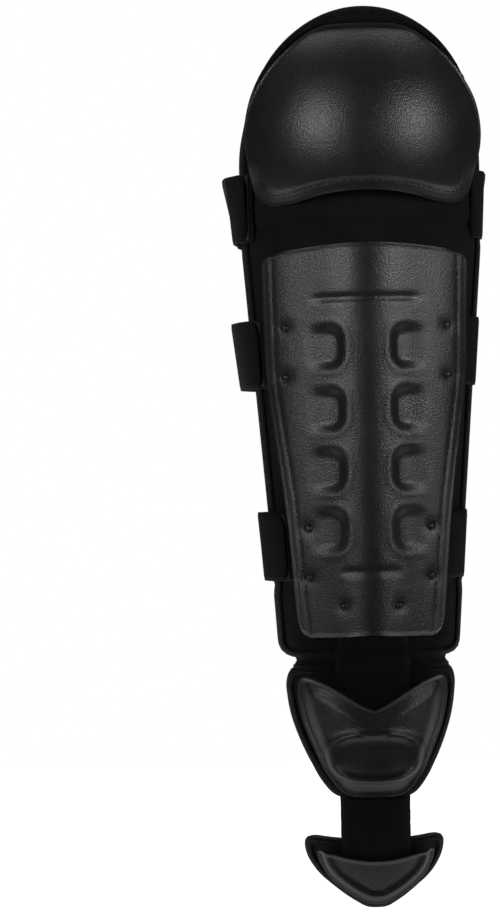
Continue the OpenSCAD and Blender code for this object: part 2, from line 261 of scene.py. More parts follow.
# Turns an object's modifiers into its plain mesh
def settle(thing):
    bpy.context.view_layer.update()
    graph = bpy.context.evaluated_depsgraph_get()
    mesh = bpy.data.meshes.new_from_object(thing.evaluated_get(graph), depsgraph=graph)
    thing.modifiers.clear()
    thing.data = mesh
    for polygon in mesh.polygons:
        polygon.use_smooth = True
    return thing


def giveMaterial(thing, *materials):
    thing.data.materials.clear()
    for material in materials:
        thing.data.materials.append(material)


def finishPiece(thing, body, slot, *nodes):
    if body:
        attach(thing, body)
    if nodes:
        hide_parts(*nodes)
    return thing


def startMaterial(name, color, roughness, **sockets):
    material = bpy.data.materials.new(name)
    material.use_nodes = True
    material.diffuse_color = (*color, 1)
    bsdf = material.node_tree.nodes["Principled BSDF"]
    bsdf.inputs["Base Color"].default_value = (*color, 1)
    bsdf.inputs["Roughness"].default_value = roughness
    for socket, value in sockets.items():
        bsdf.inputs[socket.replace("_", " ")].default_value = value
    return material, material.node_tree, bsdf


def addNode(tree, kind, inputs=None, **settings):
    node = tree.nodes.new(kind)
    for key, value in settings.items():
        setattr(node, key, value)
    for key, value in (inputs or {}).items():
        if isinstance(value, bpy.types.NodeSocket):
            tree.links.new(value, node.inputs[key])
        else:
            node.inputs[key].default_value = value
    return node


def mixNumbers(tree, operation, a, b):
    return addNode(tree, "ShaderNodeMath", {0: a, 1: b}, operation=operation).outputs[0]


def colorSpread(tree, bsdf, factor, dark, light, low=0.3, high=0.7):
    ramp = addNode(tree, "ShaderNodeValToRGB", {"Fac": factor})
    ramp.color_ramp.elements[0].position = low
    ramp.color_ramp.elements[0].color = (*dark, 1)
    ramp.color_ramp.elements[1].position = high
    ramp.color_ramp.elements[1].color = (*light, 1)
    tree.links.new(ramp.outputs["Color"], bsdf.inputs["Base Color"])


def roughnessSpread(tree, bsdf, factor, low, high):
    spread = addNode(tree, "ShaderNodeMapRange", {"Value": factor, "To Min": low, "To Max": high})
    tree.links.new(spread.outputs[0], bsdf.inputs["Roughness"])


def objectPlace(tree):
    return addNode(tree, "ShaderNodeTexCoord").outputs["Object"]


def noiseAt(tree, place, scale, detail, **inputs):
    sockets = {"Vector": place, "Scale": scale, "Detail": detail, **inputs}
    return addNode(tree, "ShaderNodeTexNoise", sockets).outputs["Fac"]


# A share of one number added to another
def addShare(tree, base, extra, share):
    return mixNumbers(tree, "ADD", base, mixNumbers(tree, "MULTIPLY", extra, share))


def bumpFrom(tree, bsdf, height, strength, distance):
    bump = addNode(tree, "ShaderNodeBump", {"Height": height, "Strength": strength, "Distance": distance})
    tree.links.new(bump.outputs[0], bsdf.inputs["Normal"])


shellFinish = {
    "grain": 950,  # pebbles per metre
    "fineGrain": 2100,
    "patches": 38,
    "grainHeight": 0.0004,
    "dark": (0.0070, 0.0070, 0.0062),
    "light": (0.0140, 0.0140, 0.0122),
    "roughness": (0.30, 0.42),
}


def shellMaterial(name, finish):
    material, tree, bsdf = startMaterial(name, finish["light"], 0.4, Specular_IOR_Level=0.5)
    place = objectPlace(tree)
    pebble = addNode(tree, "ShaderNodeTexVoronoi",
                     {"Vector": place, "Scale": finish["grain"], "Smoothness": 0.35}, feature="SMOOTH_F1")
    top = mixNumbers(tree, "SUBTRACT", 1.0, pebble.outputs["Distance"])
    height = addShare(tree, top, noiseAt(tree, place, finish["fineGrain"], 2), 0.35)
    bumpFrom(tree, bsdf, height, 0.42, finish["grainHeight"])
    patch = noiseAt(tree, place, finish["patches"], 5, Roughness=0.6)
    # The pebble tops are painted lighter, a painted glint on the grain; the noise patches add random tone
    crestsAndPatches = addShare(tree, mixNumbers(tree, "MULTIPLY", top, 0.3), patch, 0.7)
    colorSpread(tree, bsdf, crestsAndPatches, finish["dark"], finish["light"], 0.35, 0.72)
    roughnessSpread(tree, bsdf, patch, *finish["roughness"])
    return material


waveScale = 0.314  # gives a wave texture one band to each thread


# A plain weave on the cloth coordinates: warp shows on one set of squares and weft on the other
def weaveHeight(tree, threads, vector):
    scale = waveScale * threads
    warp = addNode(tree, "ShaderNodeTexWave", {"Vector": vector, "Scale": scale}, bands_direction="X")
    weft = addNode(tree, "ShaderNodeTexWave", {"Vector": vector, "Scale": scale}, bands_direction="Y")
    squares = addNode(tree, "ShaderNodeTexChecker", {"Vector": vector, "Scale": threads})
    sockets = {0: squares.outputs["Fac"], 2: warp.outputs["Fac"], 3: weft.outputs["Fac"]}
    return addNode(tree, "ShaderNodeMix", sockets).outputs[0]


def clothCoordinates(tree):
    return addNode(tree, "ShaderNodeUVMap", uv_map="cloth").outputs["UV"]


def fabricMaterial(name, threads, dark, light, roughness, bump):
    material, tree, bsdf = startMaterial(name, light, roughness, Sheen_Weight=0.03, Sheen_Roughness=0.5,
                                         Specular_IOR_Level=0.10)
    height = weaveHeight(tree, threads, clothCoordinates(tree))
    patch = noiseAt(tree, objectPlace(tree), 55, 4)
    crestsAndPatches = addShare(tree, mixNumbers(tree, "MULTIPLY", height, 0.35), patch, 0.65)
    colorSpread(tree, bsdf, crestsAndPatches, dark, light, 0.25, 0.75)
    roughnessSpread(tree, bsdf, patch, roughness - 0.08, roughness + 0.08)
    bumpFrom(tree, bsdf, height, 0.5, bump)
    return material


# Ribs run along the strap, crossed by fine picks
def webbingMaterial(name, ribs, darkLevel, lightLevel, roughness, bump):
    dark, light = [(level, level, level) for level in (darkLevel, lightLevel)]
    material, tree, bsdf = startMaterial(name, light, roughness, Sheen_Weight=0.03, Sheen_Roughness=0.4,
                                         Specular_IOR_Level=0.10)
    cloth = clothCoordinates(tree)
    scale = waveScale * ribs
    rib = addNode(tree, "ShaderNodeTexWave", {"Vector": cloth, "Scale": scale}, bands_direction="Y")
    pick = addNode(tree, "ShaderNodeTexWave",
                   {"Vector": cloth, "Scale": scale * 2.2, "Distortion": 0.4, "Detail": 1},
                   bands_direction="X")
    height = addShare(tree, rib.outputs["Fac"], pick.outputs["Fac"], 0.55)
    colorSpread(tree, bsdf, mixNumbers(tree, "MULTIPLY", height, 0.65), dark, light, 0.15, 0.9)
    bumpFrom(tree, bsdf, height, 0.55, bump)
    return material


def napMaterial(name, scale, light, bump):
    material, tree, bsdf = startMaterial(name, light, 0.9, Sheen_Weight=0.12, Sheen_Roughness=0.6,
                                         Specular_IOR_Level=0.10)
    place = objectPlace(tree)
    tuft = addNode(tree, "ShaderNodeTexVoronoi", {"Vector": place, "Scale": scale})
    height = mixNumbers(tree, "ADD", tuft.outputs["Distance"], noiseAt(tree, place, scale * 2.5, 3))
    colorSpread(tree, bsdf, mixNumbers(tree, "MULTIPLY", height, 0.6), (0.006, 0.006, 0.006), light)
    bumpFrom(tree, bsdf, height, 0.8, bump)
    return material


def rivetMaterial(name):
    material, tree, bsdf = startMaterial(name, (0.03, 0.03, 0.031), 0.35, Metallic=0.55)
    patch = noiseAt(tree, objectPlace(tree), 420, 4)
    colorSpread(tree, bsdf, patch, (0.012, 0.012, 0.012), (0.05, 0.05, 0.052), 0.4, 0.75)
    roughnessSpread(tree, bsdf, patch, 0.22, 0.5)
    bumpFrom(tree, bsdf, patch, 0.15, 0.0002)
    return material


def foamMaterial(name):
    material, tree, bsdf = startMaterial(name, (0.014, 0.014, 0.0145), 0.9, Specular_IOR_Level=0.2)
    cells = addNode(tree, "ShaderNodeTexVoronoi", {"Vector": objectPlace(tree), "Scale": 900})
    cell = cells.outputs["Distance"]
    colorSpread(tree, bsdf, cell, (0.006, 0.006, 0.006), (0.018, 0.018, 0.0185), 0.1, 0.6)
    bumpFrom(tree, bsdf, cell, 0.6, 0.0004)
    return material


def threadMaterial(name):
    material, tree, bsdf = startMaterial(name, (0.012, 0.012, 0.012), 0.7, Specular_IOR_Level=0.15)
    twist = addNode(tree, "ShaderNodeTexWave", {"Vector": objectPlace(tree), "Scale": 700},
                    bands_direction="DIAGONAL")
    colorSpread(tree, bsdf, twist.outputs["Fac"], (0.005, 0.005, 0.005), (0.016, 0.016, 0.016), 0.2, 0.8)
    bumpFrom(tree, bsdf, twist.outputs["Fac"], 0.5, 0.0002)
    return material


shellPlastic = shellMaterial("pebbled shell", shellFinish)
padCloth = fabricMaterial("pad cloth", 950, (0.0035, 0.0035, 0.0036), (0.0085, 0.0085, 0.0088), 0.82, 0.0004)
liningCloth = fabricMaterial("lining cloth", 620, (0.010, 0.010, 0.0103), (0.026, 0.026, 0.0265), 0.88,
                             0.0005)
tapeCloth = webbingMaterial("binding tape", 900, 0.0020, 0.0070, 0.7, 0.0003)
strapWebbing = webbingMaterial("strap webbing", 520, 0.0020, 0.0062, 0.7, 0.0005)
footWebbing = webbingMaterial("foot webbing", 430, 0.0025, 0.0080, 0.72, 0.0005)
narrowWebbing = webbingMaterial("narrow webbing", 700, 0.0018, 0.0055, 0.78, 0.0004)
loopNap = napMaterial("loop nap", 900, (0.016, 0.016, 0.0165), 0.0010)
hookNap = napMaterial("hook field", 620, (0.010, 0.010, 0.0104), 0.0007)
blackRivet = rivetMaterial("blackened rivet")
darkFoam = foamMaterial("dark foam")
sewingThread = threadMaterial("sewing thread")
print("materials made")


# A node tree with a geometry, some numbers and a material to set
def newTree(name, numbers):
    tree = bpy.data.node_groups.new(name, "GeometryNodeTree")
    tree.interface.new_socket("Geometry", in_out="INPUT", socket_type="NodeSocketGeometry")
    for label, value in numbers.items():
        socket = tree.interface.new_socket(label, in_out="INPUT", socket_type="NodeSocketFloat")
        socket.default_value = value
    tree.interface.new_socket("Material", in_out="INPUT", socket_type="NodeSocketMaterial")
    tree.interface.new_socket("Geometry", in_out="OUTPUT", socket_type="NodeSocketGeometry")
    return tree, addNode(tree, "NodeGroupInput"), addNode(tree, "NodeGroupOutput")


def endTree(tree, start, end, instances):
    real = addNode(tree, "GeometryNodeRealizeInstances", {0: instances})
    painted = addNode(tree, "GeometryNodeSetMaterial",
                      {"Geometry": real.outputs[0], "Material": start.outputs["Material"]})
    tree.links.new(painted.outputs[0], end.inputs[0])
    return tree


# Thread laid along the edges it is given, one stitch at each step
def makeStitchTree():
    tree, start, end = newTree("Stitch line", {"Pitch": 0.0045, "Length": 0.003, "Thread radius": 0.0004})
    curve = addNode(tree, "GeometryNodeMeshToCurve", {"Mesh": start.outputs["Geometry"]})
    even = addNode(tree, "GeometryNodeResampleCurve",
                   {"Curve": curve.outputs[0], "Length": start.outputs["Pitch"]}, mode="LENGTH")
    ball = addNode(tree, "GeometryNodeMeshUVSphere", {"Segments": 6, "Rings": 5, "Radius": 1.0})
    way = addNode(tree, "GeometryNodeInputTangent")
    turn = addNode(tree, "FunctionNodeAlignRotationToVector", {"Vector": way.outputs[0]}, axis="X")
    half = addNode(tree, "ShaderNodeMath", {0: start.outputs["Length"], 1: 0.5}, operation="MULTIPLY")
    thread = start.outputs["Thread radius"]
    size = addNode(tree, "ShaderNodeCombineXYZ", {"X": half.outputs[0], "Y": thread, "Z": thread})
    dots = addNode(tree, "GeometryNodeInstanceOnPoints",
                   {"Points": even.outputs[0], "Instance": ball.outputs[0], "Rotation": turn.outputs[0],
                    "Scale": size.outputs[0]})
    return endTree(tree, start, end, dots.outputs[0])


# A domed head on each point, turned to the point's aim
def makeRivetTree():
    tree, start, end = newTree("Rivet heads", {"Head radius": 0.0036, "Head height": 0.002})
    ball = addNode(tree, "GeometryNodeMeshUVSphere", {"Segments": 24, "Rings": 14, "Radius": 1.0})
    rim = addNode(tree, "GeometryNodeMeshCylinder", {"Vertices": 24, "Radius": 1.03, "Depth": 0.26})
    both = addNode(tree, "GeometryNodeJoinGeometry")
    tree.links.new(ball.outputs[0], both.inputs[0])
    tree.links.new(rim.outputs[0], both.inputs[0])
    aim = addNode(tree, "GeometryNodeInputNamedAttribute", {"Name": "aim"}, data_type="FLOAT_VECTOR")
    turn = addNode(tree, "FunctionNodeAlignRotationToVector", {"Vector": aim.outputs[0]}, axis="Z")
    radius = start.outputs["Head radius"]
    height = start.outputs["Head height"]
    size = addNode(tree, "ShaderNodeCombineXYZ", {"X": radius, "Y": radius, "Z": height})
    heads = addNode(tree, "GeometryNodeInstanceOnPoints",
                    {"Points": start.outputs["Geometry"], "Instance": both.outputs[0],
                     "Rotation": turn.outputs[0], "Scale": size.outputs[0]})
    return endTree(tree, start, end, heads.outputs[0])


stitchTree = makeStitchTree()
rivetTree = makeRivetTree()


def runTree(thing, tree, material, values):
    modifier = thing.modifiers.new("build", "NODES")
    modifier.node_group = tree
    for item in tree.interface.items_tree:
        if item.in_out == "INPUT" and item.name in values:
            modifier[item.identifier] = values[item.name]
        if item.in_out == "INPUT" and item.name == "Material":
            modifier[item.identifier] = material
    return settle(thing)


# One piece of sewing from several lines of points
def sewLines(name, lines, body, pitch=0.0045, length=0.0031, thread=0.0004):
    points = []
    edges = []
    for line, closed in lines:
        first = len(points)
        points.extend(tuple(p) for p in line)
        edges.extend((first + k, first + k + 1) for k in range(len(line) - 1))
        if closed:
            edges.append((len(points) - 1, first))
    mesh = bpy.data.meshes.new(name)
    mesh.from_pydata(points, edges, [])
    thing = placeObject(name, mesh)
    runTree(thing, stitchTree, sewingThread, {"Pitch": pitch, "Length": length, "Thread radius": thread})
    return finishPiece(thing, body, "pad_fabric") if body else thing


def makeShell(name, rings, place, thickness, edgeRound=0.0009):
    count = rings.shape[1]
    points = place(rings[..., 0], rings[..., 1]).reshape(-1, 3)
    thing = makeObject(name, points, gridFaces(len(rings), count, True))
    faceOut(thing)
    return thickenShell(thing, thickness, edgeRound)


def thickenShell(thing, thickness, edgeRound):
    wall = thing.modifiers.new("wall", "SOLIDIFY")
    wall.thickness = thickness
    wall.offset = -1
    edge = thing.modifiers.new("edge", "BEVEL")
    edge.width = edgeRound
    edge.segments = 3
    edge.limit_method = "ANGLE"
    edge.angle_limit = math.radians(50)
    settle(thing)
    giveMaterial(thing, shellPlastic)
    return thing


shinPlate = {
    "halfTop": 0.0748,
    "halfCalf": 0.0728,
    "halfAnkle": 0.0610,
    "halfBottom": 0.0535,
    "topArc": 0.480,
    "corner": 0.009,
    "rows": 210,
    "columns": 120,
    "dentRows": (0.003, -0.042, -0.086, -0.130),
    "dentDepths": (0.0032, 0.0030, 0.0028, 0.0023),
    "dentInner": 0.0165,
    "dentHalf": (0.018, 0.0165),
    "dentCorner": 0.0118,
    "borderWidth": 0.0050,
    "stitchInset": 0.0064,
}


def topArc(x):
    return plateHigh.z - (shinPlate["topArc"] - np.sqrt(shinPlate["topArc"] ** 2 - x ** 2))


def shinPlateHalf(count):
    s = shinPlate
    top = [(x, float(topArc(x)), 0) for x in np.linspace(0, s["halfTop"] - 0.012, 8)]
    sides = [(s["halfTop"], float(topArc(s["halfTop"])) + 0.001, s["corner"]), (s["halfCalf"], -0.020, 0.02),
             (s["halfAnkle"], -0.110, 0.03), (s["halfBottom"], plateLow.z, s["corner"]),
             (0.022, plateLow.z + 0.0004, 0.012), (0, plateLow.z + 0.0018, 0)]
    return halfOutline(top + sides, count)


def shinRelief(x, z, gap):
    s = shinPlate
    across = np.abs(x)
    side = np.interp(z, (plateLow.z, -0.110, -0.020, plateHigh.z),
                     (s["halfBottom"], s["halfAnkle"], s["halfCalf"], s["halfTop"])) - across
    lift = 0.0003 * (1 - smoothStep(s["borderWidth"] - 0.001, s["borderWidth"] + 0.0006, side))
    lift = lift - 0.0003 * hump(side, s["stitchInset"], 0.0012)
    lift = lift + 0.0006 * hump(gap, 0.0004, 0.0011)
    for middle, deep in zip(s["dentRows"], s["dentDepths"]):
        dx = np.abs(across - s["dentInner"] - s["dentHalf"][0]) - s["dentHalf"][0] + s["dentCorner"]
        dz = np.abs(z - middle) - s["dentHalf"][1] + s["dentCorner"]
        outside = np.hypot(np.maximum(dx, 0), np.maximum(dz, 0))
        edge = outside + np.minimum(np.maximum(dx, dz), 0) - s["dentCorner"]
        fade = 1 - smoothStep(0.027, 0.049, across)
        lift = lift - deep * (1 - smoothStep(-0.0075, 0.0012, edge)) * fade
        lift = lift + 0.0003 * hump(edge, 0.0026, 0.0022) * fade
    groove = (1 - smoothStep(0.032, 0.046, across)) * hump(z, 0.038, 0.0028)
    lift = lift - 0.0013 * groove
    lift = lift - 0.0010 * (1 - smoothStep(0.016, 0.026, across)) * hump(z, -0.160, 0.0030)
    for px, pz in rivetPlaces:
        lift = lift - 0.0006 * np.exp(-((across - abs(px)) ** 2 + (z - pz) ** 2) / 0.0055 ** 2)
    return lift


rivetRows = ((0.061, 0.018), (0.061, -0.018), (0.0475, -0.128), (0.0475, -0.164), (0.021, -0.185))
rivetPlaces = [(side * x, z) for side in (-1, 1) for x, z in rivetRows]


def makeShinPlate():
    s = shinPlate
    half = shinPlateHalf(260)
    loop = closedLoop(half)
    share = np.linspace(-1, 1, s["columns"])
    share = np.sign(share) * (1 - (1 - np.abs(share)) ** 1.15)
    height = np.linspace(0, 1, s["rows"])
    height = 0.5 - 0.5 * np.sign(1 - 2 * height) * np.abs(1 - 2 * height) ** 0.93
    side = half[half[:, 0] > s["halfBottom"] * 0.9]
    order = np.argsort(side[:, 1])
    sideX, sideZ = side[order].T
    levels = sideZ[0] + (sideZ[-1] - sideZ[0]) * height
    x = share[None, :] * np.interp(levels, sideZ, sideX)[:, None]
    top = np.interp(np.abs(x), *halfEdge(half, True))
    bottom = np.interp(np.abs(x), *halfEdge(half, False))
    z = bottom + (top - bottom) * ((levels - sideZ[0]) / (sideZ[-1] - sideZ[0]))[:, None]
    gap = edgeDistance(x, z, loop)
    points = wrap(x, z, -shinRelief(x, z, gap)).reshape(-1, 3)
    thing = makeObject("shinPlate", points, gridFaces(s["rows"], s["columns"], False))
    faceOut(thing)
    thickenShell(thing, layers["shell"], 0.0010)
    finishPiece(thing, "shin", "shell", "shin_plate")
    inset = closedLoop(insetHalf(half, s["stitchInset"], 200))
    inset = inset[(inset[:, 1] > plateLow.z + 0.02) & (inset[:, 1] < plateHigh.z - 0.02)]
    lines = []
    for side in (-1, 1):
        line = inset[inset[:, 0] * side > 0]
        line = line[np.argsort(line[:, 1])]
        lift = shinRelief(line[:, 0], line[:, 1], np.full(len(line), s["stitchInset"]))
        lines.append((wrap(line[:, 0], line[:, 1], -lift - 0.0001), False))
    sewLines("shinPlateStitches", lines, "shin", pitch=0.0055, length=0.0036)
    return thing


# The top or bottom edge of a half outline as x, z arrays that rise in x
def halfEdge(half, top):
    middle = (half[0, 1] + half[-1, 1]) / 2
    part = half[half[:, 1] > middle] if top else half[half[:, 1] <= middle][::-1]
    edge = [part[0]]
    for p in part[1:]:
        slope = abs(p[1] - edge[-1][1]) / max(abs(p[0] - edge[-1][0]), 1e-9)
        if slope > 2.5:
            break
        edge.append(p)
    edge = np.array(edge)
    return edge[:, 0], edge[:, 1]


makeShinPlate()
print("shin plate made")

kneeCap = {
    "height": 0.165,
    "forward": 0.027,
    "domeRadius": 0.100,
    "crown": ((0, 0.2341, 0), (0.0310, 0.2338, 0.012), (0.0545, 0.2165, 0.013), (0.0690, 0.2015, 0.012),
              (0.0826, 0.1800, 0.014), (0.0872, 0.1530, 0.014)),
    "corner": (0.062, 0.1245, 0.018),
    "hollow": 0.196,
    "hollowTop": 0.1135,
    "spine": (0.145, 0.175),
    "stitchInset": 0.0068,
}


def kneeCapHalf(count):
    k = kneeCap
    hollowX = np.linspace(0.050, 0, 8)
    hollow = [(x, k["hollowTop"] - k["hollow"] + math.sqrt(k["hollow"] ** 2 - x ** 2), 0) for x in hollowX]
    return halfOutline(list(k["crown"]) + arcPoints(*k["corner"], -14.9, -90, 10) + hollow, count)


def capPoint(x, z, lift):
    k = kneeCap
    out = x ** 2 + (z - k["height"]) ** 2
    y = -(k["forward"] + np.sqrt((k["domeRadius"] + lift) ** 2 - out))
    return np.stack([x, y, z], axis=-1)


def capRelief(z, gap):
    low = 1 - smoothStep(0.122, 0.140, z)
    lift = 0.0011 * hump(gap, 0.0, 0.0013) * (1 - 0.5 * low)
    lift = lift - low * 0.0026 * (1 - smoothStep(0.0045, 0.0105, gap))
    lift = lift - low * 0.0006 * hump(gap, kneeCap["stitchInset"], 0.0012)
    return lift


def makeKneeCap():
    k = kneeCap
    half = kneeCapHalf(150)
    loop = closedLoop(half)
    steps = [0, 0.0008, 0.0018, 0.003, 0.0042, 0.0054, 0.0066, 0.0078, 0.0092, 0.011, 0.013]
    rings = ringPoints(loop, k["spine"], steps, 34)

    def place(x, z):
        gap = edgeDistance(x, z, loop)
        return capPoint(x, z, capRelief(z, gap))

    thing = makeShell("kneeCap", rings, place, layers["shell"])
    finishPiece(thing, "knee", "shell", "knee_cap")
    inset = insetHalf(half, k["stitchInset"], 160)
    inset = inset[inset[:, 1] < 0.128]
    x, z = np.concatenate([inset, inset[::-1][1:] * (-1, 1)]).T
    lift = capRelief(z, np.full(len(x), k["stitchInset"]))
    sewLines("kneeCapStitches", [(capPoint(x, z, lift + 0.0001), False)], "knee", pitch=0.005, length=0.0034)
    return half


capHalf = makeKneeCap()
print("knee cap made")

footPlates = {
    "instepHalf": ((0, -0.2608, 0), (0.008, -0.2578, 0.006), (0.024, -0.2480, 0.02), (0.040, -0.2395, 0.012),
                   (0.0525, -0.2355, 0.011), (0.0548, -0.2500, 0.012), (0.0515, -0.2690, 0.02),
                   (0.0435, -0.2900, 0.03), (0.0330, -0.3110, 0.03), (0.0215, -0.3240, 0.010),
                   (0, -0.3245, 0)),
    "ovalHeight": -0.2950,
    "ovalHalf": (0.0315, 0.0168),
    "ovalPower": 2.6,
    "toeRim": ((0.0425, -0.3650, 0.003), (0.0414, -0.3725, 0.010), (0.0345, -0.3845, 0.010),
               (0.0190, -0.3962, 0.012), (0.0065, -0.4028, 0.006), (0, -0.4031, 0)),
    "toeHollow": 0.115,
    "toeHollowBottom": -0.3717,
}


def instepRelief(x, z, gap):
    f = footPlates
    lift = 0.0010 * hump(gap, 0.0004, 0.0014) + 0.0026 * smoothStep(0.0030, 0.0125, gap)
    lift = lift - 0.0004 * hump(gap, 0.0035, 0.0012)
    across = np.abs(x) / f["ovalHalf"][0]
    up = np.abs(z - f["ovalHeight"]) / f["ovalHalf"][1]
    oval = (across ** f["ovalPower"] + up ** f["ovalPower"]) ** (1 / f["ovalPower"])
    return lift + 0.0022 * hump(oval, 1.0, 0.15) - 0.0016 * (1 - smoothStep(0.40, 0.95, oval))


def toeRelief(x, z, gap):
    rim = edgeDistance(x, z, toeShield)
    lift = 0.0010 * hump(gap, 0.0004, 0.0014) + 0.0020 * smoothStep(0.001, 0.005, rim)
    return lift + 0.0006 * hump(rim, 0.0056, 0.0014) - 0.0018 * smoothStep(0.0062, 0.0105, rim)


def makeFootPlate(name, half, spine, relief, body, node, inner=20):
    loop = closedLoop(half)
    steps = [0, 0.0007, 0.0016, 0.0026, 0.0036, 0.0046, 0.0056, 0.0066, 0.0078, 0.0092]
    rings = ringPoints(loop, spine, steps, inner)

    def place(x, z):
        gap = edgeDistance(x, z, loop)
        return wrap(x, z, -relief(x, z, gap))

    thing = makeShell(name, rings, place, layers["shell"], 0.0008)
    return finishPiece(thing, body, "shell", node)


def toePlateHalf(count):
    f = footPlates
    middle = f["toeHollowBottom"] + f["toeHollow"]
    hollow = [(x, middle - math.sqrt(f["toeHollow"] ** 2 - x ** 2), 0) for x in np.linspace(0, 0.0395, 12)]
    return halfOutline(hollow + list(f["toeRim"]), count)


# The toe plate's rim carried on upward, to measure the distance from its lower edge alone
toeShieldTop = [(0, -0.320, 0), (0.0430, -0.320, 0)]
toeShield = closedLoop(halfOutline(toeShieldTop + list(footPlates["toeRim"][1:]), 90))
instepHalf = halfOutline(footPlates["instepHalf"], 130)
makeFootPlate("instepPlate", instepHalf, (-0.300, -0.288), instepRelief, "instep", "instep_plate")
makeFootPlate("toePlate", toePlateHalf(120), (-0.386, -0.385), toeRelief, "toe", "toe_plate", 22)
print("foot plates made")

padding = {
    "tape": 0.0075,  # how far the binding reaches over each face
    "tapeThick": 0.0009,
    "puff": 0.0030,
    "most": 0.0048,  # furthest that the filling may push a point
    "pressure": 4.0,
    "clothFrames": 20,
    "seamHalf": 0.0026,
    "seamDepth": 0.0022,
}
tapeStitch = {"pitch": 0.0048, "length": 0.0033, "thread": 0.00035}


# Both faces of a pad between two depths, with a round rim
def makePad(name, half, spine, inner=15):
    loop = closedLoop(half)
    steps = [padHalf * (1 - math.cos(t)) for t in np.linspace(0, math.pi / 2, 6)] + [padding["tape"] + 0.0005]
    rings = ringPoints(loop, spine, steps, inner)
    gaps = np.array([min(d, padHalf) for d in steps] + [padHalf] * inner)
    rise = padHalf * np.sqrt(np.maximum(0, 1 - (1 - gaps / padHalf) ** 2))
    x, z = rings[..., 0], rings[..., 1]
    front = wrap(x, z, padMid - rise[:, None], padMid)
    back = wrap(x, z, padMid + rise[:, None], padMid)
    return makeObject(name, *twoSheets(front, back), 0.00005)


# Points and faces of a front and a back sheet made from the same rings
def twoSheets(front, back):
    rows, columns = front.shape[:2]
    points = np.concatenate([front.reshape(-1, 3), back.reshape(-1, 3)])
    faces = gridFaces(rows, columns, True)
    faces += [tuple(rows * columns + v for v in reversed(f)) for f in faces]
    return points, faces


# How strongly each point is held: 1 at the rim and along the sewn channels
def holdWeights(points, loop, seams):
    angle = np.arctan2(points[:, 0], -points[:, 1])
    z = points[:, 2]
    x = (faceRadius(z) - padMid) * np.sin(np.clip(angle, -math.pi / 2, math.pi / 2))
    gap = edgeDistance(x, z, loop)
    edge = 1 - smoothStep(padding["tape"], padding["tape"] + 0.004, gap)
    seam = np.zeros(len(points))
    isBack = depthOf(points) > padMid
    metresPerDegree = 0.00145
    for kind, where, low, high, bothFaces in seams:
        distance = np.abs(np.degrees(angle) - where) * metresPerDegree if kind == "up" else np.abs(z - where)
        along = z if kind == "up" else np.degrees(angle)
        on = (along > low) & (along < high) & (isBack | bothFaces)
        near = 1 - smoothStep(padding["seamHalf"], padding["seamHalf"] * 2, distance)
        seam = np.maximum(seam, np.where(on, near, 0))
    return np.maximum(edge, seam), seam * (1 - edge), isBack


# Fills a pad: cloth under pressure, held at its rim and its seams
def fillPad(thing, half, seams, keepOut):
    start = vertexArray(thing.data)
    hold, seam, isBack = holdWeights(start, closedLoop(half), seams)
    away = np.stack([start[:, 0], start[:, 1], 0 * start[:, 2]], axis=1)
    away /= np.linalg.norm(away, axis=1)[:, None]
    away = np.where(isBack[:, None], -away, away)
    start = start - away * (seam * padding["seamDepth"])[:, None]
    setVertices(thing, start)
    moved = runCloth(thing, hold)
    step = moved - start
    length = np.linalg.norm(step, axis=1)[:, None]
    moved = start + step * np.minimum(1, padding["most"] / np.maximum(length, 1e-9))
    radius = np.hypot(moved[:, 0], moved[:, 1])
    push = np.where(isBack, 0, np.maximum(0, keepOut(moved) - depthOf(moved)))
    moved[:, :2] *= (1 - push / radius)[:, None]
    setVertices(thing, moved)
    smooth = thing.modifiers.new("smooth", "SUBSURF")
    smooth.levels = 1
    smooth.render_levels = 1
    settle(thing)
    formUv(thing)
    giveMaterial(thing, padCloth, liningCloth)
    depth = depthOf(vertexArray(thing.data))
    for polygon in thing.data.polygons:
        polygon.material_index = 1 if min(depth[v] for v in polygon.vertices) > padMid else 0


def runCloth(thing, hold):
    scene = bpy.context.scene
    group = thing.vertex_groups.new(name="hold")
    for k, weight in enumerate(hold):
        group.add([k], float(weight), "REPLACE")
    cloth = thing.modifiers.new("cloth", "CLOTH")
    settings = cloth.settings
    settings.quality = 5
    settings.mass = 0.25
    settings.use_pressure = True
    settings.uniform_pressure_force = padding["pressure"]
    settings.vertex_group_mass = "hold"
    settings.pin_stiffness = 5
    settings.tension_stiffness = 12
    settings.compression_stiffness = 12
    settings.bending_stiffness = 0.6
    settings.shrink_min = -0.03
    settings.effector_weights.gravity = 0
    cloth.point_cache.frame_start = 1
    cloth.point_cache.frame_end = padding["clothFrames"]
    for step in range(1, padding["clothFrames"] + 1):
        scene.frame_set(step)
    graph = bpy.context.evaluated_depsgraph_get()
    mesh = bpy.data.meshes.new_from_object(thing.evaluated_get(graph), depsgraph=graph)
    points = vertexArray(mesh)
    bpy.data.meshes.remove(mesh)
    thing.modifiers.clear()
    thing.vertex_groups.clear()
    scene.frame_set(1)
    return points


# Tape folded over a pad's rim and sewn through both faces
def makeBinding(name, half, spine):
    loop = closedLoop(half)
    profile = []
    tape = padding["tape"]
    for lift, way, reach in ((padding["tapeThick"], 1, tape), (0.00005, -1, tape - 0.0012)):
        outer = padHalf + lift
        part = [(reach, outer)]
        part += [(padHalf - outer * math.sin(t), outer * math.cos(t)) for t in np.linspace(0, math.pi, 9)]
        part.append((reach, -outer))
        profile += part[::way]
    inward = inwardWay(loop, spine)[0]
    rows = []
    for step, rise in profile:
        at = loop + inward * step
        rows.append(wrap(at[:, 0], at[:, 1], padMid - rise, padMid))
    rows.append(rows[0])
    points = np.array(rows).reshape(-1, 3)
    thing = makeObject(name, points, gridFaces(len(rows), len(loop), True), 0.000005)
    formUv(thing)
    giveMaterial(thing, tapeCloth)
    return thing


def bindingStitches(name, half, spine, body):
    loop = closedLoop(half)
    x, z = (loop + inwardWay(loop, spine)[0] * (padding["tape"] - 0.0016)).T
    rise = padHalf + padding["tapeThick"]
    lines = [(wrap(x, z, padMid + side * rise, padMid), True) for side in (-1, 1)]
    return sewLines(name, lines, body, **tapeStitch)


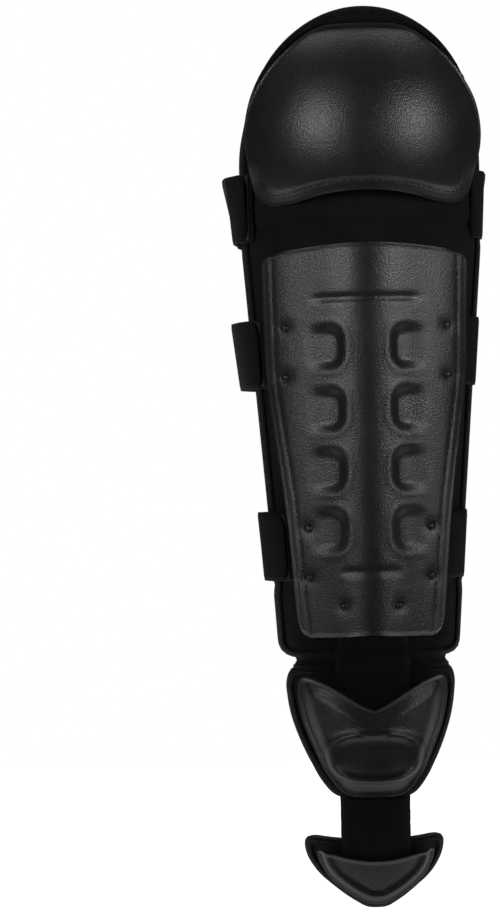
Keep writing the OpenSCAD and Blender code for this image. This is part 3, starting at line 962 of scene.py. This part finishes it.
legOutline = (
    arcPoints(0, 0.163, 0.082, 90, 8, 26)
    + [(0.0862, 0.152, 0.012), (0.0862, 0.104, 0.006), (0.0838, 0.092, 0.006), (0.0858, 0.080, 0.012),
       (0.0795, 0.0, 0.04), (0.0682, -0.142, 0.03), (0.0675, -0.168, 0.003), (0.0658, -0.1715, 0.003),
       (0.0672, -0.176, 0.004), (0.0640, -0.2238, 0.011), (0, -0.2235, 0)])
legHalf = halfOutline(legOutline, 128)
legSpine = (-0.185, 0.163)

# Sewn channels: (up or across, angle or height, from, to, on both faces)
legSeams = [("up", -24, -0.200, 0.070, False), ("up", 24, -0.200, 0.070, False),
            ("up", -30, 0.108, 0.215, False), ("up", 30, 0.108, 0.215, False),
            ("across", 0.092, -80, 80, True), ("across", 0.020, -80, 80, False),
            ("across", -0.060, -80, 80, False), ("across", -0.135, -80, 80, False),
            ("across", 0.160, -80, 80, False)]


# The pad's front stays behind the webbing, the washers and the shells
def behindShells(points):
    x, z = np.abs(points[:, 0]), points[:, 2]
    underPlate = (z < plateHigh.z - 0.004) & (z > plateLow.z) & (x < 0.080)
    return np.where(underPlate | (x < 0.035), 0.0066, 0.0045)


def makeLegPad():
    pad = makePad("legPad", legHalf, legSpine)
    fillPad(pad, legHalf, legSeams, behindShells)
    finishPiece(pad, None, "pad_fabric", "shin_cover", "shin_foam", "shin_lining", "flex_band", "knee_cover",
                "knee_lining")
    binding = makeBinding("legBinding", legHalf, legSpine)
    finishPiece(binding, None, "binding", "shin_binding", "knee_binding")
    stitches = bindingStitches("legBindingStitches", legHalf, legSpine, None)
    finishPiece(stitches, None, "binding")
    for thing in (pad, binding, stitches):
        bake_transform(thing)


makeLegPad()
print("leg pad made")


def makeFootPad(name, half, spine, body, seams, *nodes):
    pad = makePad(name, half, spine, inner=9)
    fillPad(pad, half, seams, lambda points: np.full(len(points), 0.0060))
    finishPiece(pad, body, "pad_fabric", *nodes)
    finishPiece(makeBinding(name + "Binding", half, spine), body, "binding")
    bindingStitches(name + "Stitches", half, spine, body)


instepPadHalf = halfOutline([(0, -0.2305, 0), (0.0560, -0.2300, 0.007), (0.0600, -0.2420, 0.010),
                             (0.0575, -0.2660, 0.02), (0.0490, -0.2900, 0.03), (0.0375, -0.3135, 0.02),
                             (0.0270, -0.3260, 0.008), (0, -0.3260, 0)], 62)
makeFootPad("instepPad", instepPadHalf, (-0.290, -0.266), "instep", [("across", -0.278, -60, 60, False)],
            "instep_cover", "instep_foam", "instep_lining")
toePadHalf = halfOutline([(0, -0.3575, 0), (0.0492, -0.3565, 0.010), (0.0480, -0.3715, 0.012),
                          (0.0388, -0.3848, 0.012), (0.0205, -0.3988, 0.014), (0.0070, -0.4068, 0.006),
                          (0, -0.4070, 0)], 50)
makeFootPad("toePad", toePadHalf, (-0.382, -0.374), "toe", [], "toe_cover", "toe_foam", "toe_lining")
print("foot pads made")

brim = {
    "reach": 73,  # degrees to each side of the top
    "front": -0.0022,
    "back": 0.0066,
    "clear": 0.0008,
    "middle": 0.1635,
    "outer": 0.0820,
    "around": 24,
}


def capRadiusAt(angles):
    loop = closedLoop(capHalf) - (0, brim["middle"])
    reach = np.hypot(loop[:, 0], loop[:, 1])
    turn = np.arctan2(loop[:, 0], loop[:, 1])
    order = np.argsort(turn)
    return np.interp(angles, turn[order], reach[order])


def makeBrim():
    b = brim
    angles = np.radians(np.linspace(-b["reach"], b["reach"], 110))
    inner = capRadiusAt(angles) + b["clear"]
    outer = np.maximum(b["outer"], inner + 0.002)
    taperEnd = np.sqrt(np.clip((1 - np.abs(angles) / math.radians(b["reach"] + 0.5)) * 9, 0.02, 1))
    thick = (b["back"] - b["front"]) / 2 * taperEnd
    middle = b["back"] - thick
    around = b["around"]
    turns = np.linspace(0, 2 * math.pi, around + 1)[:-1]
    bow = np.sign(np.cos(turns)) * np.abs(np.cos(turns)) ** 0.75
    rise = np.sign(np.sin(turns)) * np.abs(np.sin(turns)) ** 0.85
    radius = (inner + outer)[:, None] / 2 + (outer - inner)[:, None] / 2 * bow[None, :]
    x = radius * np.sin(angles)[:, None]
    z = b["middle"] + radius * np.cos(angles)[:, None]
    ridge = 0.0006 * np.sin(np.degrees(angles)[:, None] * 0.9) * (rise[None, :] > 0)
    points = wrap(x, z, middle[:, None] - (thick[:, None] + ridge) * rise[None, :])
    first, last = len(angles) * around, len(angles) * around + 1
    flat = np.concatenate([points.reshape(-1, 3), [points[0].mean(axis=0), points[-1].mean(axis=0)]])
    faces = gridFaces(len(angles), around, True)
    for k in range(around):
        n = (k + 1) % around
        faces.append((k, n, first))
        faces.append((first - around + k, first - around + n, last))
    thing = makeObject("kneeBrim", flat, faces)
    formUv(thing)
    giveMaterial(thing, padCloth)
    finishPiece(thing, "knee", "pad_fabric", "knee_brim")
    tape = radiusBand("kneeBrimBinding", angles, outer - 0.0052, outer + 0.0006, middle, thick)
    finishPiece(tape, "knee", "binding")
    sewn = outer - 0.0042
    line = wrap(sewn * np.sin(angles), b["middle"] + sewn * np.cos(angles), middle - thick * 0.98 - 0.0008)
    sewLines("kneeBrimStitches", [(line, False)], "knee", **tapeStitch)


# Folded tape over the brim's outer edge
def radiusBand(name, angles, low, high, middle, thick):
    profile = [(0.0, 1.12), (0.55, 1.10), (0.86, 0.80), (1.0, 0.35), (1.0, -0.35), (0.86, -0.80),
               (0.55, -1.02), (0.0, -1.02), (0.0, -0.6), (0.5, -0.5), (0.5, 0.5), (0.0, 0.6)]
    rows = []
    for share, rise in profile + profile[:1]:
        radius = low + (high - low) * share
        x = radius * np.sin(angles)
        z = brim["middle"] + radius * np.cos(angles)
        rows.append(wrap(x, z, middle - thick * rise))
    count = len(angles)
    points = np.array(rows[:-1])
    flat = np.concatenate([points.reshape(-1, 3), [points[:, 0].mean(axis=0), points[:, -1].mean(axis=0)]])
    faces = gridFaces(len(profile), count, False)
    total = len(profile) * count
    faces += [((len(profile) - 1) * count + k, (len(profile) - 1) * count + k + 1, k + 1, k)
              for k in range(count - 1)]
    for r in range(len(profile)):
        n = (r + 1) % len(profile)
        faces.append((r * count, n * count, total))
        faces.append((r * count + count - 1, n * count + count - 1, total + 1))
    thing = makeObject(name, flat, faces)
    formUv(thing)
    giveMaterial(thing, tapeCloth)
    return thing


makeBrim()
print("brim made")


# The foam block between the knee cap and the pad
def makeKneeFill():
    half = insetHalf(capHalf, 0.0055, 90)
    half = half[half[:, 0] < 0.0790]
    half = resample(half, 90)
    loop = closedLoop(half)
    rings = ringPoints(loop, kneeCap["spine"], [0, 0.002, 0.005], 12)
    x, z = rings[..., 0], rings[..., 1]
    back = wrap(x, z, 0.0066)
    front = capPoint(x, z, -layers["shell"] - 0.0008)
    front[..., 1] = np.minimum(front[..., 1], back[..., 1] - 0.0015)
    points, faces = twoSheets(front, back)
    count = len(loop)
    shift = len(rings) * count
    faces += [(k, (k + 1) % count, shift + (k + 1) % count, shift + k) for k in range(count)]
    thing = makeObject("kneeFill", points, faces)
    giveMaterial(thing, darkFoam)
    finishPiece(thing, "knee", "foam", "knee_foam")


makeKneeFill()


stripColumns = 15


# A closed strip: stations along it, each with the same rounded flat section
def makeStrip(name, stations, width, thick, place, material, endRound=(0, 0)):
    count = stripColumns
    across = np.linspace(-0.5, 0.5, count)
    section = [(a, 0.5) for a in across] + [(a, -0.5) for a in across[::-1]]
    corners = (0, count - 1, count, 2 * count - 1)
    rounding = [0.62 if k in corners else 1.0 for k in range(2 * count)]
    stations = np.asarray(stations, dtype=float)
    ends = np.ones(len(stations))
    for reach, distance in ((endRound[0], stations - stations[0]), (endRound[1], stations[-1] - stations)):
        if reach:
            near = np.clip(1 - distance / reach, 0, 1)
            ends = ends - (1 - np.sqrt(np.clip(1 - near ** 2, 0, 1))) * reach * 2 / width
    ends = np.clip(ends, 0.3, 1)
    edge = 1 + 0.006 * np.sin(stations * 1900) * np.sin(stations * 730)  # a slightly uneven selvedge
    rows = []
    uv = []
    for (a, t), soft in zip(section, rounding):
        rows.append(place(stations, a * width * ends * edge, t * thick * soft))
        uv.append(np.stack([stations, a * width * ends], axis=1))
    rows = np.swapaxes(np.array(rows), 0, 1)
    uv = np.swapaxes(np.array(uv), 0, 1).reshape(-1, 2)
    faces = gridFaces(len(stations), 2 * count, True)
    for first in (0, (len(stations) - 1) * 2 * count):
        for k in range(count - 1):
            other = first + 2 * count - 1 - k
            faces.append((first + k, first + k + 1, other - 1, other))
    thing = makeObject(name, rows.reshape(-1, 3), faces, merge=0)
    setUv(thing, uv)
    giveMaterial(thing, material)
    return thing


# Webbing down the front of the form; its depth follows a rule of the height
def makeWeb(name, top, bottom, width, depthAt, thick, material):
    stations = np.arange(0, top - bottom + 0.0001, 0.002)

    def place(s, a, t):
        z = top - s
        return wrap(a + 0 * z, z, depthAt(z) - t)

    return makeStrip(name, stations, width, thick, place, material)


webs = {
    "width": 0.058,
    "narrow": 0.045,
    "thick": layers["webIn"] - layers["webOut"],
    "narrowThick": 0.0011,
    "top": -0.172,
    "middle": -0.283,
    "bottom": -0.384,
}
webDepth = (layers["webOut"] + layers["webIn"]) / 2


def waveDepth(z):
    return webDepth + 0.0006 * np.sin((z + 0.2) * 330) * hump(z, -0.226, 0.02)


def levelDepth(z):
    return webDepth + 0 * z


# A wide web, and a narrow one over it for part of its height
def makeWebPair(name, wide, narrow, depthAt, wideNodes, narrowNodes):
    w = webs

    def narrowDepth(z):
        return depthAt(z) - w["thick"] / 2 - w["narrowThick"] / 2

    under = makeWeb(name, *wide, depthAt, w["thick"], footWebbing)
    finishPiece(under, None, "webbing", *wideNodes)
    over = makeWeb(name + "Narrow", *narrow, w["narrow"], narrowDepth, w["narrowThick"], narrowWebbing)
    finishPiece(over, None, "webbing", *narrowNodes)
    return under, over


ankleWebs = makeWebPair("ankleWeb", (webs["top"], webs["middle"], webs["width"]),
                        (plateLow.z - 0.0005, -0.2585), waveDepth, ("foot_web", "instep_web"),
                        ("foot_web_narrow",))
toeWebs = makeWebPair("toeWeb", (webs["middle"], webs["bottom"], webs["width"] - 0.004),
                      (-0.3255, -0.3692), levelDepth, ("toe_web",), ("toe_web_narrow", "instep_web_narrow"))
for web in ankleWebs:
    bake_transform(web)
for web in toeWebs:
    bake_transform(web)


# Soft fabric that joins the leg pad to the instep pad, with its folds
def makeNeck():
    top, bottom, halfWidth = -0.214, -0.242, 0.053
    stations = np.linspace(0, top - bottom, 40)

    def place(s, a, t):
        z = top - s
        fold = 0.0016 * np.sin((z + 0.228) * 620) * hump(z, -0.228, 0.010)
        return wrap(a + 0 * z, z, 0.0112 + fold - t, padMid)

    thing = makeStrip("ankleNeck", stations, halfWidth * 2, 0.0075, place, padCloth)
    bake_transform(thing)


makeNeck()
print("webbing made")

straps = {
    "width": 0.050,
    "thick": 0.0022,
    "patch": 0.0010,
    "pastEdge": 2,
    "lap": (0.022, 0.038),
    "hookOut": 0.0018,
    "tabOut": 0.0008,
    "rings": {
        "knee": {"height": 0.108, "back": 0.062, "shell": 56, "edge": 68.4, "sewn": 57, "end": 74,
                 "flare": 0.055},
        "calf": {"height": 0.0, "back": 0.060, "shell": 52.5, "edge": 66.0, "sewn": 34.4, "end": 88,
                 "flare": 0.012},
        "ankle": {"height": -0.142, "back": 0.048, "shell": 45, "edge": 63.3, "sewn": 28.9, "end": 69,
                  "flare": 0.004},
    },
}


def planPoint(radius, degrees):
    return np.array((radius * math.sin(math.radians(degrees)), -radius * math.cos(math.radians(degrees))))


def planArc(middle, radius, start, end, count):
    return [np.array(middle) + planPoint(radius, t) for t in np.linspace(start, end, count)]


# A strap band along a path in plan, widening with the form over its width
def makeBand(name, path, ring, width, thick, material, endRound=(0, 0), spacing=0.0025):
    path = np.array(path)
    length = np.linalg.norm(np.diff(path, axis=0), axis=1).sum()
    count = max(4, int(length / spacing))
    path = resample(path, count)
    way = np.gradient(path, axis=0)
    way /= np.linalg.norm(way, axis=1)[:, None]
    out = np.stack([way[:, 1], -way[:, 0]], axis=1)
    out *= np.sign((out * path).sum(axis=1))[:, None]
    stations = np.linspace(0, length, count)
    middle = ring["height"]

    def place(s, a, t):
        z = middle + a + 0 * s
        plan = path + out * np.reshape(t + 0 * s, (-1, 1))
        grow = faceRadius(z) / faceRadius(middle + 0 * z)
        away = smoothStep(62, 90, np.degrees(np.abs(np.arctan2(plan[:, 0], -plan[:, 1]))))
        grow = grow * (1 + ring["flare"] * away * a / (straps["width"] / 2))
        angle = np.arctan2(plan[:, 0], -plan[:, 1])
        inward = noseDepth(angle, z) / np.linalg.norm(plan, axis=1)
        plan = plan * (grow - inward)[:, None]
        return np.stack([plan[:, 0], plan[:, 1], z], axis=-1)

    return makeStrip(name, stations, width, thick, place, material, endRound)


def makeStrap(name, ring, root):
    s = straps
    face = float(faceRadius(np.float64(ring["height"])))
    inner = face - webDepth
    turn = ring["back"] - 0.005
    back = ring["back"] - s["thick"] / 2
    rightX = (face - layers["webOut"]) * math.sin(math.radians(ring["edge"] + s["pastEdge"])) - s["thick"] / 2
    turnMiddle = (rightX - turn, back - turn)
    band = planArc((0, 0), inner, ring["sewn"], ring["edge"] + s["pastEdge"], 12)
    band += planArc(turnMiddle, turn, 90, 180, 24) + [np.array((s["lap"][0], back))]
    bandThing = makeBand(name + "Band", band, ring, s["width"], s["thick"], strapWebbing)
    finishPiece(bandThing, None, "webbing", name + "_anchor", name + "_strap")
    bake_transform(bandThing)
    tabRadius = face - s["tabOut"] + s["thick"] / 2
    leave = -ring["end"] - 1
    tabMiddle = (planPoint(tabRadius, leave)[0] + turn, back - turn)
    step = s["thick"] + 0.0002
    tab = [np.array((s["lap"][1], back + step)), np.array((s["lap"][0] - 0.004, back + step)),
           np.array((s["lap"][0] - 0.014, back))]
    tab += planArc(tabMiddle, turn, 180, 270, 24) + planArc((0, 0), tabRadius, leave, -ring["shell"] - 3, 14)
    tabThing = makeBand(name + "Tab", tab, ring, s["width"], s["thick"], strapWebbing, endRound=(0, 0.009))
    finishPiece(tabThing, None, "webbing", name + "_tab")
    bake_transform(tabThing)
    landing = planArc((0, 0), inner, -ring["sewn"], -ring["end"], 20)
    finishPiece(makeBand(name + "Landing", landing, ring, s["width"], s["thick"], strapWebbing, (0, 0.006)),
                root, "webbing", name + "_landing")
    loopRadius = face - layers["webOut"] + 0.0001 + s["patch"] / 2
    loop = planArc((0, 0), loopRadius, -ring["shell"] - 3, -ring["end"] + 2, 14)
    finishPiece(makeBand(name + "Loop", loop, ring, s["width"] - 0.003, s["patch"], loopNap),
                root, "hook_loop", name + "_loop_patch")
    hookRadius = face - s["hookOut"] + s["patch"] / 2
    hook = planArc((0, 0), hookRadius, -ring["shell"] - 5, -ring["end"] + 4, 14)
    finishPiece(makeBand(name + "Hook", hook, ring, s["width"] - 0.004, s["patch"], hookNap),
                name + "_end", "hook_loop", name + "_hook_patch")
    sewLap(name, ring, back)


# A box of stitches where the tab is sewn to the band
def sewLap(name, ring, back):
    s = straps
    y = back + s["thick"] * 1.5 + 0.0003
    low, high = s["lap"][0] + 0.0005, s["lap"][1] - 0.002
    up = s["width"] / 2 - 0.004
    corners = [(low, -up), (high, -up), (high, up), (low, up), (low, -up), (high, up)]
    line = resample(np.array(corners), 90)
    z = ring["height"] + line[:, 1]
    grow = faceRadius(z) / faceRadius(np.full(len(z), ring["height"]))
    grow = grow * (1 + ring["flare"] * line[:, 1] / (s["width"] / 2))
    points = np.stack([line[:, 0] * grow, y * grow, z], axis=1)
    sewLines(name + "LapStitches", [(points, False)], name + "_band", 0.0032, 0.0023, 0.00035)


for name, ring in straps["rings"].items():
    makeStrap(name, ring, "knee" if name == "knee" else "shin")
print("straps made")

rivets = {"Head radius": 0.0033, "Head height": 0.0021}


def makeRivets():
    x, z = np.array(rivetPlaces).T
    points = wrap(x, z, 0.0005)
    mesh = bpy.data.meshes.new("rivetHeads")
    mesh.from_pydata([tuple(p) for p in points], [], [])
    aim = mesh.attributes.new("aim", "FLOAT_VECTOR", "POINT")
    out = np.stack([points[:, 0], points[:, 1], -taper * np.hypot(points[:, 0], points[:, 1])], axis=1)
    out /= np.linalg.norm(out, axis=1)[:, None]
    aim.data.foreach_set("vector", out.reshape(-1))
    thing = placeObject("rivetHeads", mesh)
    runTree(thing, rivetTree, blackRivet, rivets)
    finishPiece(thing, "shin", "rivet", "rivets")


makeRivets()
giveMaterial(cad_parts["rivet_washers"], blackRivet)
print("rivets made")

studio = {
    "floor": -0.4135,
    "camera": (-0.0862, -1.920, -0.0757),
    "lens": 100,
    "roll": 1.25,  # degrees
    "paper": (0.93, 0.93, 0.93),
    "paperGlow": 0.9,
    "fill": 0.05,
    # place, aim, size, power and spread in degrees
    "lights": {
        "left light": ((-0.95, -1.30, 0.24), (0, 0, 0.14), (0.26, 0.7), 0.60, 37),
        "right light": ((1.10, -1.15, 0.24), (0, 0, 0.14), (0.26, 0.7), 0.60, 37),
        "top light": ((0.0, 0.10, 1.5), (0, 0, 0.15), (1.6, 0.4), 6, 180),
        "back panel": ((0.0, 1.3, 0.35), (0, 0, 0.1), (1.8, 1.7), 7, 180),
    },
}


# A small sheet under the guard whose glow falls away to the sides
def makePaper():
    points = [(x, y, studio["floor"]) for y in (-0.14, 0.9) for x in (-0.9, 0.9)]
    paper = makeObject("paper", points, gridFaces(2, 2, False))
    material, tree, bsdf = startMaterial("studio paper", studio["paper"], 0.9, Specular_IOR_Level=0.1)
    bsdf.inputs["Emission Color"].default_value = (1, 1, 1, 1)
    place = addNode(tree, "ShaderNodeTexCoord").outputs["Object"]
    axes = addNode(tree, "ShaderNodeSeparateXYZ", {0: place})
    across = mixNumbers(tree, "ABSOLUTE", axes.outputs[0], 0.0)
    glow = addNode(tree, "ShaderNodeMapRange", {"Value": across, "From Min": 0.40, "From Max": 0.65,
                                                "To Min": studio["paperGlow"], "To Max": 0.12})
    tree.links.new(glow.outputs[0], bsdf.inputs["Emission Strength"])
    giveMaterial(paper, material)


# White where it is looked at, dim where it lights
def makeWorld():
    world = bpy.context.scene.world or bpy.data.worlds.new("studio")
    bpy.context.scene.world = world
    world.use_nodes = True
    tree = world.node_tree
    seen = addNode(tree, "ShaderNodeLightPath").outputs["Is Camera Ray"]
    strength = addNode(tree, "ShaderNodeMapRange", {"Value": seen, "To Min": studio["fill"], "To Max": 1.0})
    tree.nodes["Background"].inputs["Color"].default_value = (1, 1, 1, 1)
    tree.links.new(strength.outputs[0], tree.nodes["Background"].inputs["Strength"])
    bpy.context.scene.view_settings.view_transform = "Standard"


def addLight(name, place, target, size, power, spread):
    light = bpy.data.lights.new(name, "AREA")
    light.shape = "RECTANGLE"
    light.size, light.size_y = size
    light.energy = power
    light.spread = math.radians(spread)
    thing = placeObject(name, light)
    thing.location = place
    thing.rotation_euler = (Vector(target) - Vector(place)).to_track_quat("-Z", "Y").to_euler()
    thing.visible_camera = False


def makeCamera():
    camera = bpy.data.cameras.new("camera")
    camera.lens = studio["lens"]
    camera.sensor_fit = "VERTICAL"
    camera.sensor_height = 36
    thing = placeObject("camera", camera)
    thing.location = studio["camera"]
    thing.rotation_euler = (math.radians(90), math.radians(studio["roll"]), 0)
    bpy.context.scene.camera = thing


def makeStudio():
    makePaper()
    for name, light in studio["lights"].items():
        addLight(name, *light)
    makeWorld()
    makeCamera()


makeStudio()
print("studio made")
